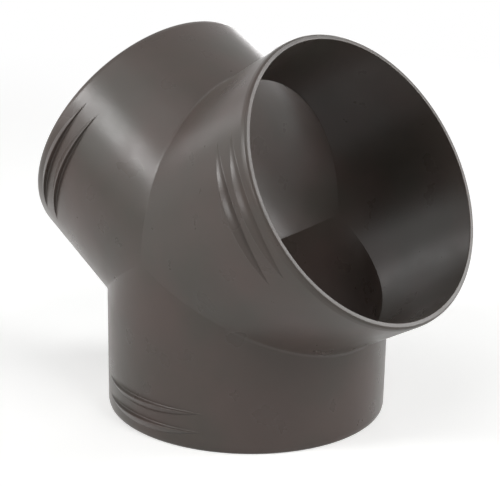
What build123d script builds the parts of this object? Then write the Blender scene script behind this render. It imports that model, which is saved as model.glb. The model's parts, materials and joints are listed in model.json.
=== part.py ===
from build123d import *
import math
import os

# Three-way duct connector, moulded in one piece. Three equal spigots meet in one plane, at
# 120 degrees. A hose slides over each spigot, and short barbs on its front and back hold it.
# Z runs up the trunk, X across the two branches and Y through the flat of the fitting.
# The origin is the centre of the trunk's mouth. Lengths are millimetres, angles degrees.

spigot_diameter = 75.0  # outside of each spigot, which is the hose's nominal size
wall = 1.6  # wall of the moulding, the same everywhere
port_reach = 45.4  # from the point where the three axes meet to each mouth
branch_angle = 120.0  # between the trunk and each branch
valley_radius = 1.5  # fillet outside, where two spigots meet

lead_in_length = 0.9  # slight taper that the hose starts on, along the spigot
lead_in_drop = 0.2  # how far the taper falls
mouth_chamfer = 0.4  # from the taper to the flat end of the wall

barb_count = 2  # barbs in a row along a spigot
barb_pitch = 5.0  # from one barb's step to the next
barb_setback = 4.9  # from the mouth to the step of the nearest barb
barb_height = 1.3  # how far a barb stands out at its middle
barb_ramp = 1.9  # length of its slope, which falls towards the mouth
barb_span = 55.0  # angle round the spigot from one tip of a barb to the other

spigot_radius = spigot_diameter / 2
bore_radius = spigot_radius - wall

# A port is drawn along its own Z, from the point where the axes meet, and then leant about Y.
port_leans = {
    "trunk": 180.0,
    "left_branch": branch_angle - 180.0,
    "right_branch": 180.0 - branch_angle,
}


def turned(*outline):
    """Turn an outline of (radius, height) points about Z. It closes along the axis."""
    ends = (0, outline[-1][1]), (0, outline[0][1])
    points = [(radius, 0, height) for radius, height in (*outline, *ends)]
    return revolve(make_face(Polyline(*points, close=True)), Axis.Z)


def spigot():
    """Solid outside of one port, tapered and chamfered at its mouth."""
    chamfer_radius = spigot_radius - lead_in_drop
    chamfer_height = port_reach - mouth_chamfer
    return turned(
        (spigot_radius, 0),
        (spigot_radius, chamfer_height - lead_in_length),
        (chamfer_radius, chamfer_height),
        (chamfer_radius - mouth_chamfer, port_reach),
    )


def bore():
    """Air way of one port."""
    return turned((bore_radius, 0), (bore_radius, port_reach))


def barb(step_height, side):
    """One barb, with the core that it stands on.

    The crest is an arc of smaller radius than the spigot's, with its centre moved off the axis
    towards the barb, so that the barb stands proud in the middle and runs out at both tips.
    From there a cone falls towards the mouth, and the flat step faces the junction.
    """
    crest = spigot_radius + barb_height
    tip = spigot_radius * math.cos(math.radians(barb_span / 2))
    offset = barb_height * (spigot_radius + crest) / (2 * (crest - tip))
    crest_radius = crest - offset
    length = min(2 * barb_ramp, port_reach - step_height)
    end_radius = crest_radius - length * barb_height / barb_ramp
    core = turned((crest_radius, step_height), (end_radius, step_height + length))
    return Pos(0, side * offset, 0) * core


def barbs():
    """All the barbs of one port: a row on the front and a row on the back."""
    steps = [port_reach - barb_setback - i * barb_pitch for i in range(barb_count)]
    return [barb(step, side) for step in steps for side in (-1, 1)]


def wye_body():
    """The whole moulding, standing on the trunk's mouth."""
    leans = [Rot(0, lean, 0) for lean in port_leans.values()]
    shell = Part() + [lean * spigot() for lean in leans]
    shell = fillet(shell.edges().filter_by(GeomType.ELLIPSE), valley_radius)
    shell += [lean * piece for lean in leans for piece in barbs()]
    shell -= [lean * bore() for lean in leans]
    return Pos(0, 0, port_reach) * shell


os.makedirs("parts", exist_ok=True)
export_step(wye_body(), "parts/wye_body.step")
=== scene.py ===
import bpy
import json
import math
import numpy as np
from mathutils import Matrix, Vector


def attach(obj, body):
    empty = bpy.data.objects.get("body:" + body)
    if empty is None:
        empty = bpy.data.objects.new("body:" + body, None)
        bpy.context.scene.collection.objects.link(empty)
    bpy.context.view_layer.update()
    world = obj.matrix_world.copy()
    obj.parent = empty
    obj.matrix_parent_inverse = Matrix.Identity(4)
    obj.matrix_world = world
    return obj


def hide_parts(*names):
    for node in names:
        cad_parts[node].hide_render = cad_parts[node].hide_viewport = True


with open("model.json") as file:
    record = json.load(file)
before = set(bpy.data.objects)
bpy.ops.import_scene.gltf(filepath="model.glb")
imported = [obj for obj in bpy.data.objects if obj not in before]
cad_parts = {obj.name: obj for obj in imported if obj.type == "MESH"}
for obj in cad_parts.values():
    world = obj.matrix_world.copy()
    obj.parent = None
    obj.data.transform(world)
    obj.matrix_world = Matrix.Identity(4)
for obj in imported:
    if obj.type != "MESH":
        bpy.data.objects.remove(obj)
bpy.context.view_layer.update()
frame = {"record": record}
mm = 0.001


# What the frame says of the three ports, in metres.
mounts = {m["name"]: m for m in frame["record"]["mounts"]}
ports = ["trunk", "left_branch", "right_branch"]
spigotRadius = mounts["trunk_spigot"]["dims"]["r_mm"] * mm
boreRadius = mounts["trunk_bore"]["dims"]["r_mm"] * mm
reach = mounts["trunk_bore"]["dims"]["length_mm"] * mm
junction = Vector((0, 0, reach))   # where the three axes meet
portAxes = [Vector(mounts[p + "_bore"]["axis"]) for p in ports]


moulding = {
    "columns": 360,                      # round each port, a multiple of 4
    "mitre": math.radians(30),           # lean of the planes where a port meets the other two
    "valleyRadius": 1.5 * mm,            # fillet outside, between two ports
    "valleyRows": 9,
    "ridgeRadius": 0.45 * mm,            # the edge left inside, where two bores meet
    "ridgeRows": 5,
    "plainEnd": 4 * mm,                  # even rows stop this far behind the first barb
    "barbSteps": [9.9 * mm, 4.9 * mm],   # each barb's step, from the mouth
    "barbHeight": 1.3 * mm,
    "barbRamp": 2.2 * mm,
    "rampStart": 0.71,                   # slope at the crest, as a share of the mean slope
    "barbSpan": math.radians(55),
    "crestRound": 0.16 * mm,
    "leastRun": 0.05 * mm,               # what is left of a ramp beyond the barb's tips
    "stepLean": 0.04 * mm,               # how far the step's face leans back
    "leadIn": (1.3 * mm, 0.2 * mm),      # gentle taper at the mouth: its start, and its fall
    "bevel": (0.4 * mm, 0.4 * mm),       # then the outer edge's bevel, along and across
    "cornerCuts": (0.25 * mm, 0.15 * mm, 0.1 * mm),   # softening of the mouth's three corners
    "boreRound": 0.12 * mm,              # inner edge of the mouth
    "hold": 0.3 * mm,                    # how near the rows stand on both sides of a crease
}


def unit(v):
    return v / np.linalg.norm(v, axis=-1, keepdims=True)


def blendRows(radius, rounding, mitre, angle, count):
    # A ball of the rounding's radius touches two equal cylinders that meet at a mitre. Its centre
    # runs on the mitre plane at radius + rounding from both axes. The strip between the two
    # touching points is the ball's own surface: centre minus rounding times a direction that
    # turns evenly from the mitre plane (first row) to this port's own radial (last row).
    flat = np.zeros_like(angle)
    radial = np.stack([np.cos(angle), np.sin(angle), flat], -1)
    side = np.where(np.cos(angle) >= 0, 1.0, -1.0)
    normal = np.stack([side * math.sin(mitre), flat, flat - math.cos(mitre)], -1)
    mirrored = radial - 2 * (radial * normal).sum(-1, keepdims=True) * normal
    middle = unit(radial + mirrored)
    centre = (radius + rounding) * radial
    centre[:, 2] = np.abs(centre[:, 0]) * math.tan(mitre)
    turn = np.arccos(np.clip((middle * radial).sum(-1), -1, 1))[None, :, None]
    share = np.linspace(0, 1, count)[:, None, None]
    safe = np.maximum(turn, 1e-9)
    way = (np.sin((1 - share) * safe) * middle + np.sin(share * safe) * radial) / np.sin(safe)
    return centre - rounding * unit(way)


def ringRows(radii, heights, angle):
    # Rows of a turned form: each row has a radius and a height, which may change round the port.
    radii, heights = [np.broadcast_to(v, angle.shape) for v in (radii, heights)]
    return np.stack([radii * np.cos(angle), radii * np.sin(angle), heights], -1)


def barbRows(p, step, angle):
    # The crest is a circle of smaller radius whose centre is off the axis, towards the barb, so
    # its distance from the port's axis is offset*cos + sqrt(crest^2 - (offset*sin)^2), where the
    # angle is taken from the barb's middle. From it the ramp falls to the spigot, and its fall is
    # rampStart of the way along plus the rest of its sixth power, so it steepens near its foot.
    top = spigotRadius + p["barbHeight"]
    tip = spigotRadius * math.cos(p["barbSpan"] / 2)
    offset = p["barbHeight"] * (spigotRadius + top) / (2 * (top - tip))
    crestRadius = top - offset
    slope = p["barbHeight"] / p["barbRamp"]
    toward, across = np.abs(np.sin(angle)), np.cos(angle)

    def out(radius):
        return offset * toward + np.sqrt(np.maximum(radius ** 2 - (offset * across) ** 2, 0))

    height = np.maximum(out(crestRadius) - spigotRadius, 0)
    meets = np.sqrt(spigotRadius ** 2 + offset ** 2 - 2 * spigotRadius * offset * toward)
    run = np.maximum((crestRadius - meets) / slope, p["leastRun"])
    soft = np.minimum(p["crestRound"], 0.3 * height)
    rows = [(spigotRadius, step - p["hold"]), (spigotRadius, step - p["stepLean"]),
            (spigotRadius + 0.3 * (height - soft), step - p["stepLean"] / 4),
            (spigotRadius + height - soft, step),
            (spigotRadius + height - 0.35 * soft, step + 0.3 * soft)]
    for t in (0.1, 0.3, 0.5, 0.62, 0.72, 0.8, 0.87, 0.93, 0.98):
        fall = p["rampStart"] * t + (1 - p["rampStart"]) * t ** 6
        rows.append((np.maximum(out(crestRadius - slope * fall * run), spigotRadius), step + t * run))
    rows += [(spigotRadius, step + run + 0.4 * p["leastRun"]), (spigotRadius, step + run + p["hold"])]
    return [ringRows(r, z, angle) for r, z in rows]


def softCorner(before, corner, after, cut):
    # The corner is cut back by this much towards both neighbours, and bent between the two cuts
    # as start*(1-t)^2 + 2*corner*t*(1-t) + end*t^2.
    before, corner, after = [np.array(v) for v in (before, corner, after)]
    start, end = [corner + cut * unit(v - corner) for v in (before, after)]
    return [start * (1 - t) ** 2 + 2 * corner * t * (1 - t) + end * t * t for t in (0, 0.25, 0.5, 0.75, 1)]


def mouthRows(p, angle):
    # The outline of a mouth as radius and height: taper, bevel and flat end, with soft corners,
    # then a quarter round into the bore.
    (start, taper), (along, across) = p["leadIn"], p["bevel"]
    end, flare = spigotRadius - taper - across, p["boreRound"]
    outline = [(spigotRadius, reach - start - p["hold"]), (spigotRadius, reach - start),
               (spigotRadius - taper, reach - along), (end, reach), (boreRadius, reach)]
    rows = outline[:1]
    for n, cut in enumerate(p["cornerCuts"]):
        rows += softCorner(*outline[n:n + 3], cut)
    rows.append((boreRadius + 2 * flare, reach))
    for t in np.linspace(0, math.pi / 2, 5):
        rows.append((boreRadius + flare * (1 - math.sin(t)), reach - flare * (1 - math.cos(t))))
    return [ringRows(r, z, angle) for r, z in rows]


def portRows(p, angle):
    # One port's skin as rows: the valley's fillet, the outside with its barbs, the mouth, the
    # bore and the ridge inside. Each is a grid row of points round the port.
    outer = blendRows(spigotRadius, p["valleyRadius"], p["mitre"], angle, p["valleyRows"])
    inner = blendRows(boreRadius, p["ridgeRadius"], p["mitre"], angle, p["ridgeRows"])[::-1]
    touch, ridge = outer[-1, :, 2], inner[0, :, 2]
    rows = list(outer)
    plainEnd = reach - p["barbSteps"][0] - p["plainEnd"]
    for t in (0.02, 0.2, 0.4, 0.6, 0.8, 1.0):
        rows.append(ringRows(spigotRadius, touch + t * (plainEnd - touch), angle))
    for setback in p["barbSteps"]:
        rows += barbRows(p, reach - setback, angle)
    rows += mouthRows(p, angle)
    deep = reach - p["boreRound"] - p["hold"]
    for t in (0, 0.2, 0.4, 0.6, 0.8, 0.98):
        rows.append(ringRows(boreRadius, deep + t * (ridge - deep), angle))
    return np.array(rows + list(inner))


def gridQuads(rowCount, columnCount):
    # Four corners of each cell of a grid that closes on itself round the port.
    i, j = np.meshgrid(np.arange(rowCount - 1), np.arange(columnCount), indexing="ij")
    k = (j + 1) % columnCount
    cells = [i * columnCount + j, i * columnCount + k, (i + 1) * columnCount + k, (i + 1) * columnCount + j]
    return np.stack(cells, -1).reshape(-1, 4)


def weld(points, quads):
    # Points that fall on the same micrometre become one, and a cell that lost a corner becomes
    # a triangle, so that the three ports are one closed skin.
    micrometre = 0.001 * mm
    _, first, same = np.unique(np.round(points / micrometre).astype(np.int64), axis=0,
                               return_index=True, return_inverse=True)
    quads = same.reshape(-1)[quads]
    repeats = quads == np.roll(quads, -1, axis=1)
    full = quads[repeats.sum(1) == 0]
    once = repeats.sum(1) == 1
    worn, drop = quads[once], repeats[once].argmax(1)
    keep = (drop[:, None] + 1 + np.arange(3)) % 4
    return points[first], full, np.take_along_axis(worn, keep, 1)


def buildMoulding(p):
    angle = np.arange(p["columns"]) * 2 * math.pi / p["columns"]
    rows = portRows(p, angle)
    points, quads = rows.reshape(-1, 3), gridQuads(*rows.shape[:2])
    allPoints, allQuads = [], []
    for n, axis in enumerate(portAxes):
        along, flat = np.array(axis), np.array((0.0, 1.0, 0.0))
        place = np.stack([np.cross(flat, along), flat, along])
        allPoints.append(points @ place + np.array(junction))
        allQuads.append(quads + n * len(points))
    points, full, worn = weld(np.concatenate(allPoints), np.concatenate(allQuads))
    mesh = bpy.data.meshes.new("wyeMoulding")
    mesh.from_pydata(points, [], full.tolist() + worn.tolist())
    mesh.validate()
    mesh.shade_smooth()
    piece = bpy.data.objects.new("wyeMoulding", mesh)
    bpy.context.scene.collection.objects.link(piece)
    print("moulding:", len(points), "points,", len(full), "quads,", len(worn), "triangles")
    return piece


plastic = {
    "warm": (0.077, 0.057, 0.050),   # charcoal, brown where the pigment is thin
    "cool": (0.061, 0.053, 0.045),
    "patch": 22 * mm,                # size of those patches
    "specular": 0.35,                # a little below a polished plastic's 0.5
    "roughness": (0.27, 0.34),       # polished and duller patches of the mould
    "sheenPatch": 9 * mm,
    "grain": 0.6 * mm,               # fine moulded grain
    "grainDepth": 0.01 * mm,
    "ripple": 11 * mm,               # slow unevenness of a wall that shrank as it cooled
    "rippleDepth": 0.06 * mm,
}


def noiseAt(nodes, links, place, size, detail):
    noise = nodes.new("ShaderNodeTexNoise")
    noise.inputs["Scale"].default_value = 1 / size
    noise.inputs["Detail"].default_value = detail
    links.new(place.outputs["Object"], noise.inputs["Vector"])
    return noise.outputs["Fac"]


def spread(nodes, links, source, low, high):
    # Noise keeps mostly between these two levels, which are stretched to low and high.
    level = nodes.new("ShaderNodeMapRange")
    level.inputs["From Min"].default_value = 0.35
    level.inputs["From Max"].default_value = 0.65
    level.inputs["To Min"].default_value = low
    level.inputs["To Max"].default_value = high
    links.new(source, level.inputs["Value"])
    return level.outputs["Result"]


def plasticMaterial(p):
    mat = bpy.data.materials.new("charcoalPlastic")
    mat.use_nodes = True
    nodes, links = mat.node_tree.nodes, mat.node_tree.links
    shader = nodes["Principled BSDF"]
    place = nodes.new("ShaderNodeTexCoord")
    tint = nodes.new("ShaderNodeMix")
    tint.data_type = "RGBA"
    tint.inputs["A"].default_value = (*p["cool"], 1)
    tint.inputs["B"].default_value = (*p["warm"], 1)
    patches = noiseAt(nodes, links, place, p["patch"], 2)
    links.new(spread(nodes, links, patches, 0, 1), tint.inputs["Factor"])
    links.new(tint.outputs["Result"], shader.inputs["Base Color"])
    shader.inputs["Specular IOR Level"].default_value = p["specular"]
    dull = noiseAt(nodes, links, place, p["sheenPatch"], 4)
    links.new(spread(nodes, links, dull, *p["roughness"]), shader.inputs["Roughness"])
    below = None
    for size, depth in ((p["ripple"], p["rippleDepth"]), (p["grain"], p["grainDepth"])):
        bump = nodes.new("ShaderNodeBump")
        bump.inputs["Distance"].default_value = depth
        bump.inputs["Strength"].default_value = 1
        links.new(noiseAt(nodes, links, place, size, 2), bump.inputs["Height"])
        if below:
            links.new(below.outputs["Normal"], bump.inputs["Normal"])
        below = bump
    links.new(below.outputs["Normal"], shader.inputs["Normal"])
    return mat


piece = buildMoulding(moulding)
piece.data.materials.append(plasticMaterial(plastic))
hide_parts("wye_body")
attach(piece, "root")
print("moulding dressed")


view = {
    "azimuth": math.radians(44.54),
    "elevation": math.radians(15.65),
    "roll": math.radians(1.10),
    "distance": 322.06 * mm,           # from the point where the axes meet
    "aside": (0.22 * mm, -1.86 * mm),  # and across the view, right and up
    "sensor": 36,                      # sensor and lens in millimetres
    "lens": 87.43,
    "clip": (0.01, 20),
}

studio = {
    "skyLight": 0.05,                  # the white surround's share of the soft light
    "floorColour": (0.85, 0.85, 0.84),
    "floorRoughness": 0.9,
    "floorSpecular": 0.2,
    "floorGlow": 0.38,                 # lifts the floor to white without lighting the fitting
    "floorFade": (0.15, 0.8),          # metres out, where the floor turns to plain white
    "floorRings": (0.02, 0.3, 1, 4),   # metres
    "floorColumns": 96,
    "lampDistance": 0.8,
    "lamps": [   # name, degrees to the right of the camera, degrees up, width, height, level
        ("keyBox", 40, 45, 0.3, 0.3, 0.28),
        ("leftBox", -72, 32, 0.2, 0.18, 0.36),
        ("leftLow", -50, 13, 0.24, 0.15, 0.14),
        ("sideBox", -88, 20, 0.3, 0.3, 0.10),
        ("leftHigh", -60, 55, 0.3, 0.3, 0.07),
        ("topBox", -20, 68, 0.3, 0.3, 0.09),
        ("rightStrip", 95, 22, 0.26, 0.6, 0.62),
        ("rearCard", 172, 8, 0.35, 0.25, 0.18),
        ("rearLeft", 236, 22, 0.18, 0.18, 0.03),
    ],
}


def fromCamera(azimuth, elevation):
    # The direction this many degrees to the right of the camera and above the floor.
    a = view["azimuth"] + math.radians(azimuth)
    e = math.radians(elevation)
    return Vector((math.sin(a) * math.cos(e), -math.cos(a) * math.cos(e), math.sin(e)))


def seenRays(nodes, links):
    # 1 for the rays that show the background: straight, in gloss and through glass.
    path = nodes.new("ShaderNodeLightPath")
    seen = path.outputs["Is Camera Ray"]
    for kind in ("Is Glossy Ray", "Is Transmission Ray"):
        either = nodes.new("ShaderNodeMath")
        either.operation = "MAXIMUM"
        links.new(seen, either.inputs[0])
        links.new(path.outputs[kind], either.inputs[1])
        seen = either.outputs[0]
    return seen


def whiteWorld(skyLight):
    world = bpy.data.worlds.new("studioWorld")
    bpy.context.scene.world = world
    world.use_nodes = True
    nodes, links = world.node_tree.nodes, world.node_tree.links
    sky = nodes["Background"]
    sky.inputs["Color"].default_value = (1, 1, 1, 1)
    level = nodes.new("ShaderNodeMapRange")
    level.inputs["To Min"].default_value = skyLight
    level.inputs["To Max"].default_value = 1.0
    links.new(seenRays(nodes, links), level.inputs["Value"])
    links.new(level.outputs["Result"], sky.inputs["Strength"])


def addLamp(name, azimuth, elevation, width, height, level):
    # A white card that faces a lamp of level 1 is lit to plain white.
    distance = studio["lampDistance"]
    light = bpy.data.lights.new(name, "AREA")
    light.shape, light.size, light.size_y = "RECTANGLE", width, height
    light.energy = level * (math.pi * distance) ** 2
    lamp = bpy.data.objects.new(name, light)
    back = fromCamera(azimuth, elevation)
    lamp.location = junction + back * distance
    lamp.rotation_mode = "QUATERNION"
    lamp.rotation_quaternion = back.to_track_quat("Z", "Y")
    lamp.visible_camera = False
    bpy.context.scene.collection.objects.link(lamp)


def floorPaint(p):
    # Pale paint and a little glow near the fitting, plain white further out.
    mat = bpy.data.materials.new("floorPaint")
    mat.use_nodes = True
    nodes, links = mat.node_tree.nodes, mat.node_tree.links
    paint = nodes["Principled BSDF"]
    paint.inputs["Base Color"].default_value = (*p["floorColour"], 1)
    paint.inputs["Roughness"].default_value = p["floorRoughness"]
    paint.inputs["Specular IOR Level"].default_value = p["floorSpecular"]
    seen = seenRays(nodes, links)
    glow = nodes.new("ShaderNodeEmission")
    strength = nodes.new("ShaderNodeMath")
    strength.operation = "MULTIPLY"
    strength.inputs[1].default_value = p["floorGlow"]
    links.new(seen, strength.inputs[0])
    links.new(strength.outputs[0], glow.inputs["Strength"])
    lit = nodes.new("ShaderNodeAddShader")
    links.new(paint.outputs[0], lit.inputs[0])
    links.new(glow.outputs[0], lit.inputs[1])
    place = nodes.new("ShaderNodeTexCoord")
    out = nodes.new("ShaderNodeVectorMath")
    out.operation = "LENGTH"
    links.new(place.outputs["Object"], out.inputs[0])
    fade = nodes.new("ShaderNodeMapRange")
    fade.interpolation_type = "SMOOTHSTEP"
    fade.inputs["From Min"].default_value, fade.inputs["From Max"].default_value = p["floorFade"]
    links.new(out.outputs["Value"], fade.inputs["Value"])
    far = nodes.new("ShaderNodeMath")
    far.operation = "MULTIPLY"
    links.new(fade.outputs["Result"], far.inputs[0])
    links.new(seen, far.inputs[1])
    white = nodes.new("ShaderNodeEmission")
    blend = nodes.new("ShaderNodeMixShader")
    links.new(far.outputs[0], blend.inputs["Fac"])
    links.new(lit.outputs[0], blend.inputs[1])
    links.new(white.outputs[0], blend.inputs[2])
    links.new(blend.outputs[0], nodes["Material Output"].inputs["Surface"])
    return mat


def paleFloor(p):
    # Rings of cells round a small disc, wide enough to fill the view behind the fitting.
    columns = p["floorColumns"]
    angle = np.arange(columns) * 2 * math.pi / columns
    rings = np.array(p["floorRings"])[:, None]
    points = np.stack([rings * np.cos(angle), rings * np.sin(angle), 0 * rings * angle], -1)
    mesh = bpy.data.meshes.new("studioFloor")
    cells = gridQuads(*points.shape[:2]).tolist()
    mesh.from_pydata(points.reshape(-1, 3), [], cells + [list(range(columns))])
    floor = bpy.data.objects.new("studioFloor", mesh)
    bpy.context.scene.collection.objects.link(floor)
    floor.data.materials.append(floorPaint(p))


whiteWorld(studio["skyLight"])
for lamp in studio["lamps"]:
    addLamp(*lamp)
paleFloor(studio)
print("studio lit")


def addCamera(v):
    back = fromCamera(0, math.degrees(v["elevation"]))
    level = Vector((math.cos(v["azimuth"]), math.sin(v["azimuth"]), 0))
    above = back.cross(level)
    right = math.cos(v["roll"]) * level + math.sin(v["roll"]) * above
    up = back.cross(right)
    data = bpy.data.cameras.new("camera")
    data.sensor_width, data.lens = v["sensor"], v["lens"]
    data.clip_start, data.clip_end = v["clip"]
    camera = bpy.data.objects.new("camera", data)
    turn = Matrix((right, up, back)).transposed().to_4x4()
    place = junction + back * v["distance"] + right * v["aside"][0] + up * v["aside"][1]
    camera.matrix_world = Matrix.Translation(place) @ turn
    bpy.context.scene.collection.objects.link(camera)
    bpy.context.scene.camera = camera


addCamera(view)
bpy.context.scene.view_settings.view_transform = "Standard"
